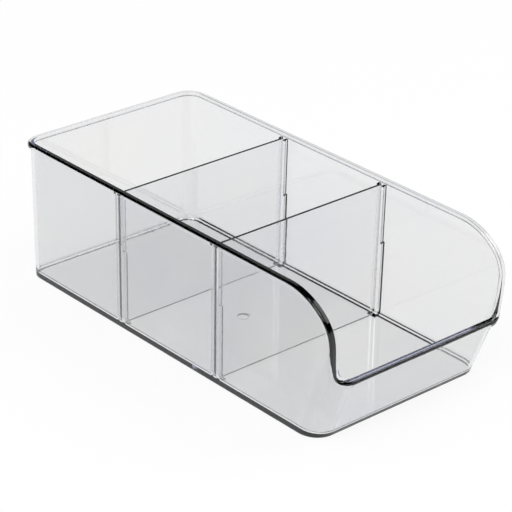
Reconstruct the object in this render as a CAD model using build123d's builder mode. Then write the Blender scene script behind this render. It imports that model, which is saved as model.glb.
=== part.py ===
from build123d import *
from math import atan, cos, pi, radians, sin, tan
import os

# Clear stackable storage bin with an open scoop front and two lift-out dividers.
# Millimetres. Origin at the middle of the footprint, on the surface the bin stands on.
# X runs across the bin, +Y points to the rear wall and -Y to the scoop front, +Z is up.

# Overall size, measured over the rim
bin_length = 262.0
bin_width = 126.0
bin_height = 84.0
lip_height = 39.5

# Moulded thicknesses
wall = 2.0
floor_thickness = 2.2
rim_overhang = 1.7
rim_depth = 3.0
lip_depth = 4.4

# Draft of the upright walls and lean of the front wall
side_draft = 0.8
rear_draft = 0.6
front_lean = 15.2

# Plan corners, edge roundings and the small bevel at the mouth
rear_corner = 10.0
front_corner = 12.0
base_edge_radius = 1.2
inside_foot_radius = 3.0
rim_top_radius = 1.5
rim_under_radius = 1.2
rim_inner_bevel = 0.25

# Scoop line of the side walls, from the straight rim down to the lip
scoop_start = 93.4
shoulder_reach = 32.8
shoulder_fall = 25.2
shoulder_turn = 43.0
scoop_foot_reach = 3.0
scoop_foot_fall = 4.6
scoop_foot_turn = 33.0

# Divider channels on the side walls
rear_divider_place = 44.0
front_divider_place = -36.0
channel_gap = 2.6
channel_reach = 2.4
channel_top_gap = 2.6
rib_thickness = 1.6
stop_rib_thickness = 2.6
stop_rib_height = 47.6
rib_top_radius = 1.6
rib_foot_reach = 2.2
rib_foot_height = 2.6

# Dividers
divider_thickness = 1.6
divider_side_gap = 0.4
divider_top_gap = 2.5
divider_top_radius = 2.0
divider_foot_radius = 5.0

# Round gate mark under the floor
gate_diameter = 7.0
gate_depth = 1.0
gate_place = 9.0

# Space past the part that the cutting regions reach into
clear_of_part = 30.0

# Largest distance at which an edge counts as lying on a surface
touching = 0.01

# Values worked out from the sizes above
top_half_width = bin_width / 2 - rim_overhang
lean_ratio = front_lean / lip_height
lean_angle = atan(lean_ratio)
lip_rounding_loss = rim_top_radius * (1 / tan(pi / 4 - lean_angle / 2) - 1)
rear_face = bin_length / 2 - rim_overhang
lip_face = bin_length / 2 - rim_overhang / cos(lean_angle) + lip_rounding_loss
channel_top = bin_height - channel_top_gap
up_and_forward = Vector(0, -1, 1)


def half_width(level):
    """Outside half width across the side walls at one height."""
    return top_half_width - side_draft * (1 - level / bin_height)


def tub_side_view(grow, bottom, top):
    """Side view of the tub between two heights, with every wall moved outward."""
    corners = []
    for level in (bottom, top):
        rear = rear_face - rear_draft * (1 - level / bin_height) + grow
        front = lip_face - front_lean + lean_ratio * level + grow / cos(lean_angle)
        corners.append(((-front, level), (rear, level)))
    with BuildSketch(Plane.YZ) as view:
        with BuildLine():
            Polyline(corners[0][0], corners[0][1], corners[1][1], corners[1][0], close=True)
        make_face()
    return view.sketch


def tub_front_view(grow, bottom, top):
    """Front view of the tub between two heights, with every wall moved outward."""
    low = half_width(bottom) + grow
    high = half_width(top) + grow
    with BuildSketch(Plane.XZ) as view:
        with BuildLine():
            Polyline((-low, bottom), (low, bottom), (high, top), (-high, top), close=True)
        make_face()
    return view.sketch


def upright_edges(block):
    """Edges that climb the walls of a tub block, from the front ones to the rear ones."""
    climbing = block.edges().filter_by(lambda edge: edge.bounding_box().size.Z > bin_height / 2)
    return climbing.sort_by(Axis.Y)


def add_tub_block(block, grow, bottom, top):
    """Adds the tub as a full block, its upright corners rounded, to the part being built."""
    extrude(tub_side_view(grow, bottom, top), amount=bin_width, both=True)
    extrude(tub_front_view(grow, bottom, top), amount=bin_length, both=True, mode=Mode.INTERSECT)
    fillet(upright_edges(block)[-2:], rear_corner + grow)
    fillet(upright_edges(block)[:2], front_corner + grow)


def two_arc_radii(along, across, first_turn):
    """Radii of two tangent arcs that make a quarter turn with the given extents."""
    rise = sin(radians(first_turn))
    run = cos(radians(first_turn))
    spread = rise * run - (1 - rise) * (1 - run)
    first = (along * run - across * (1 - rise)) / spread
    second = (across * rise - along * (1 - run)) / spread
    return first, second


def above_rim_line(rim_drop, lip_drop):
    """Side view of the space above the rim line, with the line sunk into the wall."""
    shoulder_radii = two_arc_radii(shoulder_reach, shoulder_fall, shoulder_turn)
    foot_radii = two_arc_radii(scoop_foot_fall, scoop_foot_reach, scoop_foot_turn)
    rim_level = bin_height - rim_drop
    lip_level = lip_height - lip_drop
    fall_end = lip_level + scoop_foot_fall + rim_drop
    behind = bin_length / 2 + clear_of_part
    ahead = -bin_length / 2 - 2 * clear_of_part
    above = bin_height + clear_of_part
    with BuildSketch(Plane.YZ) as region:
        with BuildLine():
            rim = Line((behind, rim_level), (-scoop_start, rim_level))
            shoulder = JernArc(rim @ 1, rim % 1, shoulder_radii[0] - rim_drop, shoulder_turn)
            brow = JernArc(
                shoulder @ 1, shoulder % 1, shoulder_radii[1] - rim_drop, 90 - shoulder_turn
            )
            fall = Line(brow @ 1, ((brow @ 1).X, fall_end))
            foot = JernArc(fall @ 1, fall % 1, foot_radii[0] + rim_drop, -scoop_foot_turn)
            toe = JernArc(foot @ 1, foot % 1, foot_radii[1] + rim_drop, scoop_foot_turn - 90)
            lip = Line(toe @ 1, (ahead, lip_level))
            Polyline(lip @ 1, (ahead, above), (behind, above), rim @ 0)
        make_face()
    return region.sketch


def channel_tip(level):
    """Distance from the middle of the bin to the rib tips at one height."""
    return half_width(level) - wall - channel_reach


def rib_profile(foot_reach, top):
    """Front view of one channel rib on the +X wall, from inside the wall to its tip."""
    root = floor_thickness / 2
    foot = floor_thickness + rib_foot_height
    embedded = wall / 2
    with BuildSketch(Plane.XZ) as profile:
        with BuildLine():
            Polyline(
                (half_width(root) - embedded, root),
                (channel_tip(root) - foot_reach, root),
                (channel_tip(root) - foot_reach, floor_thickness),
                (channel_tip(foot), foot),
                (channel_tip(top), top),
                (half_width(top) - embedded, top),
                close=True,
            )
        make_face()
        tip = profile.vertices().group_by(Axis.Y)[-1].sort_by(Axis.X)[0]
        fillet(tip, rib_top_radius)
    return profile.sketch


def divider_profile():
    """Front view of a divider, narrower than the tub inside by its side gap."""
    top = bin_height - divider_top_gap
    side_at_top = half_width(top) - wall - divider_side_gap
    side_at_foot = half_width(floor_thickness) - wall - divider_side_gap
    with BuildSketch(Plane.XZ) as profile:
        with BuildLine():
            Polyline(
                (-side_at_foot, floor_thickness),
                (side_at_foot, floor_thickness),
                (side_at_top, top),
                (-side_at_top, top),
                close=True,
            )
        make_face()
        fillet(profile.vertices().group_by(Axis.Y)[0], divider_foot_radius)
        fillet(profile.vertices().group_by(Axis.Y)[-1], divider_top_radius)
    return profile.sketch


# Outside of the tub, cut along the rim line
with BuildPart() as tub_outside:
    add_tub_block(tub_outside, 0, 0, bin_height)
    fillet(tub_outside.faces().sort_by(Axis.Z)[0].edges(), base_edge_radius)
    extrude(above_rim_line(0, 0), amount=bin_width, both=True, mode=Mode.SUBTRACT)

# Rim band: a fuller tub kept only in a strip that follows the rim line
with BuildPart() as rim_band:
    add_tub_block(rim_band, rim_overhang, 0, bin_height)
    extrude(above_rim_line(0, 0), amount=bin_width, both=True, mode=Mode.SUBTRACT)
    strip = above_rim_line(rim_depth, lip_depth)
    extrude(strip, amount=bin_width, both=True, mode=Mode.INTERSECT)
    side_faces = rim_band.faces().filter_by(lambda face: face.bounding_box().size.X < bin_width / 2)
    end_faces = rim_band.faces().sort_by(Axis.Y)
    outer_faces = side_faces + [end_faces[0], end_faces[-1]]
    cut_faces = rim_band.faces() - outer_faces
    top_faces = cut_faces.filter_by(lambda face: face.normal_at().dot(up_and_forward) > 0)
    under_faces = cut_faces - top_faces
    under_edges = outer_faces.edges() & under_faces.edges()
    top_edges = outer_faces.edges() & top_faces.edges()
    fillet(under_edges, rim_under_radius)
    fillet(top_edges, rim_top_radius)

# Space inside the tub, with a rounded foot
with BuildPart() as cavity:
    add_tub_block(cavity, -wall, floor_thickness, bin_height + clear_of_part)
    fillet(cavity.faces().sort_by(Axis.Z)[0].edges(), inside_foot_radius)

# Space above the rim line
with BuildPart() as above_rim:
    extrude(above_rim_line(0, 0), amount=bin_width, both=True)


def mouth_edges(block):
    """Edges where the space inside the tub meets the rim line."""
    return block.edges().filter_by(
        lambda edge: cavity.part.distance_to(edge @ 0.5) < touching
        and above_rim.part.distance_to(edge @ 0.5) < touching
    )


# Bin body: tub, rim and divider channels in one moulding
with BuildPart() as bin_body:
    add(tub_outside.part)
    add(rim_band.part)
    add(cavity.part, mode=Mode.SUBTRACT)
    chamfer(mouth_edges(bin_body), rim_inner_bevel)
    for place in (rear_divider_place, front_divider_place):
        rear_rib = place + channel_gap / 2 + rib_thickness / 2
        front_rib = place - channel_gap / 2 - rib_thickness / 2
        stop_rib = place - channel_gap / 2 - stop_rib_thickness / 2
        for middle, thickness, top in (
            (rear_rib, rib_thickness, channel_top),
            (front_rib, rib_thickness, channel_top),
            (stop_rib, stop_rib_thickness, stop_rib_height),
        ):
            with BuildSketch(Plane.XZ.offset(-middle)) as ribs:
                add(rib_profile(rib_foot_reach, top))
                mirror(about=Plane.YZ)
            extrude(amount=thickness / 2, both=True)
    with BuildSketch(Plane.XY):
        with Locations((0, gate_place)):
            Circle(gate_diameter / 2)
    extrude(amount=gate_depth, mode=Mode.SUBTRACT)

# Rear divider
with BuildPart() as rear_divider:
    with BuildSketch(Plane.XZ.offset(-rear_divider_place)):
        add(divider_profile())
    extrude(amount=divider_thickness / 2, both=True)

# Front divider
with BuildPart() as front_divider:
    with BuildSketch(Plane.XZ.offset(-front_divider_place)):
        add(divider_profile())
    extrude(amount=divider_thickness / 2, both=True)

bin_body.part.label = "bin_body"
rear_divider.part.label = "rear_divider"
front_divider.part.label = "front_divider"
os.makedirs("parts", exist_ok=True)
for piece in (bin_body, rear_divider, front_divider):
    export_step(piece.part, "parts/" + piece.part.label + ".step")
    print(piece.part.label, "volume", round(piece.part.volume))
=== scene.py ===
from math import cos, radians, sin

import bpy
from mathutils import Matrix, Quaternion, Vector


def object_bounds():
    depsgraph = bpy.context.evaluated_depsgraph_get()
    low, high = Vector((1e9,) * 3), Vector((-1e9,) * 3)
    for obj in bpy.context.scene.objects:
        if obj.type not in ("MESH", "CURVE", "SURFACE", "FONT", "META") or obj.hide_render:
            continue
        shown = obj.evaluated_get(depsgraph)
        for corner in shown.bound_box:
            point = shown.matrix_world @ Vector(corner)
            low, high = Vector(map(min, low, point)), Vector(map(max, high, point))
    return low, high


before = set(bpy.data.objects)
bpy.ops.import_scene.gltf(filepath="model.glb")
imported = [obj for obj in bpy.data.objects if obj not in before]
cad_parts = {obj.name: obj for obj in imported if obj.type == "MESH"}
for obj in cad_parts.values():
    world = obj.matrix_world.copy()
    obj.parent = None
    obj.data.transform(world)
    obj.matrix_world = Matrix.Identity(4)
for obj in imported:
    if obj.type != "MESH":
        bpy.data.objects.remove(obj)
cad_low, cad_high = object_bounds()

# Lengths are in metres, angles in degrees, lamp powers in watts and the lens in millimetres.
# An azimuth of 0 is in front of the bin (-Y), and 90 is on its right (+X).

# Camera: the direction and distance from which the photograph sees the bin
CAMERA_AZIMUTH = -41.85
CAMERA_ELEVATION = 26.59
CAMERA_ROLL = 1.30
CAMERA_DISTANCE = 1.1869
CAMERA_LENS = 152.6
CAMERA_AIM = Vector((0.0, 0.0, cad_high.z / 2))
CAMERA_NEAR = 0.05
CAMERA_FAR = 50.0

# Clear plastic. The cool and warm tones filter light at each face that it passes. Inside the
# plastic light also fades, by density times (1 - tint) along a metre.
PLASTIC_IOR = 1.58
BODY_COOL = (0.865, 0.875, 0.885)
BODY_WARM = (0.90, 0.897, 0.88)
BODY_TINT = (0.46, 0.50, 0.70)
BODY_DENSITY = 24.0
DIVIDER_COOL = (0.955, 0.96, 0.975)
DIVIDER_WARM = (0.99, 0.982, 0.97)
DIVIDER_TINT = (0.48, 0.52, 0.62)
DIVIDER_DENSITY = 60.0

# Texture of the plastic. Scales are in waves per metre, and heights are those of the bumps.
NOISE_ROUGHNESS = 0.55
NOISE_LOW = 0.3
NOISE_HIGH = 0.7
TONE_SCALE = 11.0
TONE_DETAIL = 2.0
HAZE_SCALE = 22.0
HAZE_DETAIL = 3.0
HAZE_LEAST = 0.003
HAZE_MOST = 0.03
FLOW_SCALE = 30.0
FLOW_DETAIL = 1.0
FLOW_STRENGTH = 0.25
FLOW_HEIGHT = 0.00015
SKIN_SCALE = 900.0
SKIN_DETAIL = 2.0
SKIN_STRENGTH = 0.08
SKIN_HEIGHT = 0.00003

# Floor, a hair below the bin's base so that the two faces stay apart
FLOOR_SIZE = 12.0
FLOOR_LEVEL = -0.0003
FLOOR_ALBEDO = 0.85
FLOOR_GLOW_SHARE = 0.85
FLOOR_GLOW = 1.04

# Backdrop: white up to the ceiling's start, and dark from its end up
BACKDROP_WHITE = 1.0
CEILING_GREY = 0.0
CEILING_START = 8.0
CEILING_END = 20.0

# Round pale screen in front of the ceiling, which the bin's floor mirrors to the camera.
# Its edge and full angles are measured from its middle.
SCREEN_AZIMUTH = 138.13
SCREEN_ELEVATION = 26.61
SCREEN_EDGE = 18.0
SCREEN_FULL = 11.0
SCREEN_WHITE = 0.4

# Light
WORLD_LIGHT = 0.55
LAMP_SIZE = 1.2
KEY_PLACE = (-1.2, -0.6, 1.8)
KEY_POWER = 18
FILL_PLACE = (1.4, -0.8, 1.5)
FILL_POWER = 9
WHITE = (1, 1, 1, 1)

# Light led along inside the walls takes about twenty reflections to come out. It is cut off
# before that, which leaves the near edges black, as they are in the photograph.
LIGHT_BOUNCES = 32
GLOSSY_BOUNCES = 10


def direction(azimuth, elevation):
    """Unit vector from the bin towards a place at these angles."""
    turn = radians(azimuth)
    rise = radians(elevation)
    return Vector((sin(turn) * cos(rise), -cos(turn) * cos(rise), sin(rise)))


def node(tree, kind, **inputs):
    """A shader node with some of its inputs set by name."""
    made = tree.nodes.new(kind)
    for name, value in inputs.items():
        made.inputs[name.replace("_", " ")].default_value = value
    return made


def larger(tree, first, second):
    """The larger of two values."""
    made = tree.nodes.new("ShaderNodeMath")
    made.operation = "MAXIMUM"
    tree.links.new(first, made.inputs[0])
    tree.links.new(second, made.inputs[1])
    return made.outputs[0]


def carried(tree, value, start, end, low, high):
    """A value carried from the span between start and end to the one between low and high."""
    made = node(tree, "ShaderNodeMapRange", From_Min=start, From_Max=end, To_Min=low, To_Max=high)
    tree.links.new(value, made.inputs["Value"])
    return made


def eased(tree, value, start, end, low, high):
    """A value that goes smoothly from low to high between start and end."""
    made = carried(tree, value, start, end, low, high)
    made.interpolation_type = "SMOOTHSTEP"
    return made.outputs["Result"]


def mixed(tree, share, first, second):
    """The first shader where the share is 0, and the second where it is 1."""
    made = tree.nodes.new("ShaderNodeMixShader")
    tree.links.new(share, made.inputs[0])
    tree.links.new(first.outputs[0], made.inputs[1])
    tree.links.new(second.outputs[0], made.inputs[2])
    return made


def seen_rays(tree):
    """1 for the rays that show the backdrop: camera, glossy and transmission rays."""
    path = tree.nodes.new("ShaderNodeLightPath")
    camera_or_glossy = larger(tree, path.outputs["Is Camera Ray"], path.outputs["Is Glossy Ray"])
    return larger(tree, camera_or_glossy, path.outputs["Is Transmission Ray"])


def empty_material(name):
    """A material that holds nothing but its output node."""
    material = bpy.data.materials.new(name)
    material.use_nodes = True
    material.node_tree.nodes.clear()
    output = material.node_tree.nodes.new("ShaderNodeOutputMaterial")
    return material, output


def make_camera():
    back = direction(CAMERA_AZIMUTH, CAMERA_ELEVATION)
    data = bpy.data.cameras.new("camera")
    data.lens = CAMERA_LENS
    data.clip_start = CAMERA_NEAR
    data.clip_end = CAMERA_FAR
    camera = bpy.data.objects.new("camera", data)
    bpy.context.scene.collection.objects.link(camera)
    camera.location = CAMERA_AIM + back * CAMERA_DISTANCE
    upright = (-back).to_track_quat("-Z", "Y")
    rolled = upright @ Quaternion((0, 0, 1), radians(CAMERA_ROLL))
    camera.rotation_euler = rolled.to_euler()
    bpy.context.scene.camera = camera


def ceiling(tree, place):
    """Backdrop brightness: white near the horizon and dark overhead."""
    height = tree.nodes.new("ShaderNodeSeparateXYZ")
    tree.links.new(place, height.inputs[0])
    start = sin(radians(CEILING_START))
    end = sin(radians(CEILING_END))
    return eased(tree, height.outputs["Z"], start, end, BACKDROP_WHITE, CEILING_GREY)


def screen(tree, place):
    """Brightness of the pale screen, 0 outside it."""
    towards = tree.nodes.new("ShaderNodeVectorMath")
    towards.operation = "DOT_PRODUCT"
    towards.inputs[1].default_value = direction(SCREEN_AZIMUTH, SCREEN_ELEVATION)
    tree.links.new(place, towards.inputs[0])
    edge = cos(radians(SCREEN_EDGE))
    full = cos(radians(SCREEN_FULL))
    return eased(tree, towards.outputs["Value"], edge, full, 0.0, SCREEN_WHITE)


def make_world():
    """White backdrop, dark ceiling and pale screen to look at, and an even white light."""
    world = bpy.data.worlds.new("studio")
    bpy.context.scene.world = world
    world.use_nodes = True
    tree = world.node_tree
    tree.nodes.clear()
    output = tree.nodes.new("ShaderNodeOutputWorld")
    place = tree.nodes.new("ShaderNodeTexCoord").outputs["Generated"]
    shown = tree.nodes.new("ShaderNodeBackground")
    brightness = larger(tree, ceiling(tree, place), screen(tree, place))
    tree.links.new(brightness, shown.inputs["Color"])
    lighting = node(tree, "ShaderNodeBackground", Color=WHITE, Strength=WORLD_LIGHT)
    surface = mixed(tree, seen_rays(tree), lighting, shown)
    tree.links.new(surface.outputs[0], output.inputs["Surface"])


def make_floor():
    """Matt floor that glows for the rays that see it, so that it looks white with a shadow."""
    mesh = bpy.data.meshes.new("floor")
    half = FLOOR_SIZE / 2
    corners = [(-half, -half, 0), (half, -half, 0), (half, half, 0), (-half, half, 0)]
    mesh.from_pydata(corners, [], [(0, 1, 2, 3)])
    floor = bpy.data.objects.new("floor", mesh)
    bpy.context.scene.collection.objects.link(floor)
    floor.location.z = FLOOR_LEVEL
    material, output = empty_material("floor")
    tree = material.node_tree
    grey = (FLOOR_ALBEDO, FLOOR_ALBEDO, FLOOR_ALBEDO, 1)
    matt = node(tree, "ShaderNodeBsdfDiffuse", Color=grey)
    glow = node(tree, "ShaderNodeEmission", Color=WHITE, Strength=FLOOR_GLOW)
    share = carried(tree, seen_rays(tree), 0.0, 1.0, 0.0, FLOOR_GLOW_SHARE)
    surface = mixed(tree, share.outputs["Result"], matt, glow)
    tree.links.new(surface.outputs[0], output.inputs["Surface"])
    mesh.materials.append(material)


def area_lamp(name, place, power):
    """Square lamp that points at the bin."""
    data = bpy.data.lights.new(name, "AREA")
    data.shape = "SQUARE"
    data.size = LAMP_SIZE
    data.energy = power
    lamp = bpy.data.objects.new(name, data)
    bpy.context.scene.collection.objects.link(lamp)
    lamp.location = place
    lamp.rotation_euler = (-Vector(place)).to_track_quat("-Z", "Y").to_euler()


def noise(tree, place, scale, detail):
    """Noise in the object's own coordinates."""
    made = node(
        tree, "ShaderNodeTexNoise", Scale=scale, Detail=detail, Roughness=NOISE_ROUGHNESS
    )
    tree.links.new(place, made.inputs["Vector"])
    return made.outputs["Fac"]


def tone(tree, value, cool, warm):
    """Colour that goes from cool to warm over the middle of a noise value."""
    made = tree.nodes.new("ShaderNodeValToRGB")
    first, last = made.color_ramp.elements
    first.position = NOISE_LOW
    first.color = (*cool, 1)
    last.position = NOISE_HIGH
    last.color = (*warm, 1)
    tree.links.new(value, made.inputs["Fac"])
    return made.outputs["Color"]


def bump(tree, height, strength, distance):
    """Bump from a noise value."""
    made = node(tree, "ShaderNodeBump", Strength=strength, Distance=distance)
    tree.links.new(height, made.inputs["Height"])
    return made


def clear_plastic(name, cool, warm, tint, density):
    """Polished clear moulding: uneven tone, faint haze, flow waves and a very fine skin."""
    material, output = empty_material(name)
    tree = material.node_tree
    place = tree.nodes.new("ShaderNodeTexCoord").outputs["Object"]
    shader = node(
        tree, "ShaderNodeBsdfPrincipled", IOR=PLASTIC_IOR, Transmission_Weight=1.0
    )
    clouds = noise(tree, place, TONE_SCALE, TONE_DETAIL)
    tree.links.new(tone(tree, clouds, cool, warm), shader.inputs["Base Color"])
    patches = noise(tree, place, HAZE_SCALE, HAZE_DETAIL)
    haze = carried(tree, patches, NOISE_LOW, NOISE_HIGH, HAZE_LEAST, HAZE_MOST)
    tree.links.new(haze.outputs["Result"], shader.inputs["Roughness"])
    waves = noise(tree, place, FLOW_SCALE, FLOW_DETAIL)
    flow = bump(tree, waves, FLOW_STRENGTH, FLOW_HEIGHT)
    grain = noise(tree, place, SKIN_SCALE, SKIN_DETAIL)
    skin = bump(tree, grain, SKIN_STRENGTH, SKIN_HEIGHT)
    tree.links.new(flow.outputs["Normal"], skin.inputs["Normal"])
    tree.links.new(skin.outputs["Normal"], shader.inputs["Normal"])
    absorption = node(
        tree, "ShaderNodeVolumeAbsorption", Color=(*tint, 1), Density=density
    )
    tree.links.new(shader.outputs[0], output.inputs["Surface"])
    tree.links.new(absorption.outputs[0], output.inputs["Volume"])
    return material


def dress(name, material):
    """Gives a CAD node its finished material."""
    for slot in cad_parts[name].material_slots:
        slot.material = material


make_camera()
make_world()
make_floor()
area_lamp("key", KEY_PLACE, KEY_POWER)
area_lamp("fill", FILL_PLACE, FILL_POWER)
body_plastic = clear_plastic("clear_body", BODY_COOL, BODY_WARM, BODY_TINT, BODY_DENSITY)
divider_plastic = clear_plastic(
    "clear_divider", DIVIDER_COOL, DIVIDER_WARM, DIVIDER_TINT, DIVIDER_DENSITY
)
dress("bin_body", body_plastic)
dress("rear_divider", divider_plastic)
dress("front_divider", divider_plastic)

scene = bpy.context.scene
scene.view_settings.view_transform = "Standard"
scene.cycles.max_bounces = LIGHT_BOUNCES
scene.cycles.transmission_bounces = LIGHT_BOUNCES
scene.cycles.glossy_bounces = GLOSSY_BOUNCES
